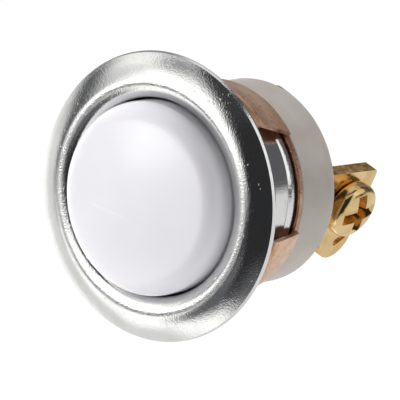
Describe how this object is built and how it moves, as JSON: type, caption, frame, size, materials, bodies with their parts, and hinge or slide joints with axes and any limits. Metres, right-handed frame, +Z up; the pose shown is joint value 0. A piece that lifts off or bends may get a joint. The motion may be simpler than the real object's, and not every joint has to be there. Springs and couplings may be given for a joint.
{
  "type": "flush doorbell push button",
  "caption": "Round flush doorbell push button: dished metal bezel and barrel, white domed cap on a return spring, sprung grip clip, moulded base and screw terminals behind.",
  "frame": {"origin": "on the button's axis, in the plane of the wall, which is the flat back of the bezel's rim", "axes": "+Y along the button's axis into the wall, so the cap faces -Y; +Z up as in the picture"},
  "size_m": [0.0222, 0.0227, 0.0222],
  "materials": {
    "bezel_metal": "polished nickel plate, bright",
    "cap_plastic": "glossy moulded white plastic",
    "disc_brass": "bright rolled brass",
    "spring_steel": "drawn spring wire",
    "base_plastic": "natural translucent moulded plastic, satin",
    "clip_bronze": "rolled spring bronze, coppery",
    "terminal_brass": "stamped brass with a sheared edge",
    "contact_silver": "silver contact face",
    "screw_brass": "turned and pressed brass"
  },
  "bodies": {
    "housing": {"bezel_shell": "bezel_metal", "insulator_base": "base_plastic", "grip_clip": "clip_bronze", "terminal_plate_a": "terminal_brass", "terminal_plate_b": "terminal_brass", "contact_tip_a": "contact_silver", "contact_tip_b": "contact_silver", "return_spring": "spring_steel"},
    "button": {"button_cap": "cap_plastic", "contact_disc": "disc_brass"},
    "screw_a": {"terminal_screw_a": "screw_brass"},
    "screw_b": {"terminal_screw_b": "screw_brass"}
  },
  "joints": [
    {"name": "button_press", "type": "slide", "parent": "housing", "child": "button", "axis": [0, 1, 0], "range_m": [0, 0.001], "stiffness_N_per_m": 520, "springref_m": -0.0015, "deforming": ["return_spring"]},
    {"name": "screw_a_back_out", "type": "slide", "parent": "housing", "child": "screw_a", "axis": [0.891, 0, -0.454], "range_m": [0, 0.0015]},
    {"name": "screw_b_back_out", "type": "slide", "parent": "housing", "child": "screw_b", "axis": [-0.891, 0, 0.454], "range_m": [0, 0.0015]}
  ]
}
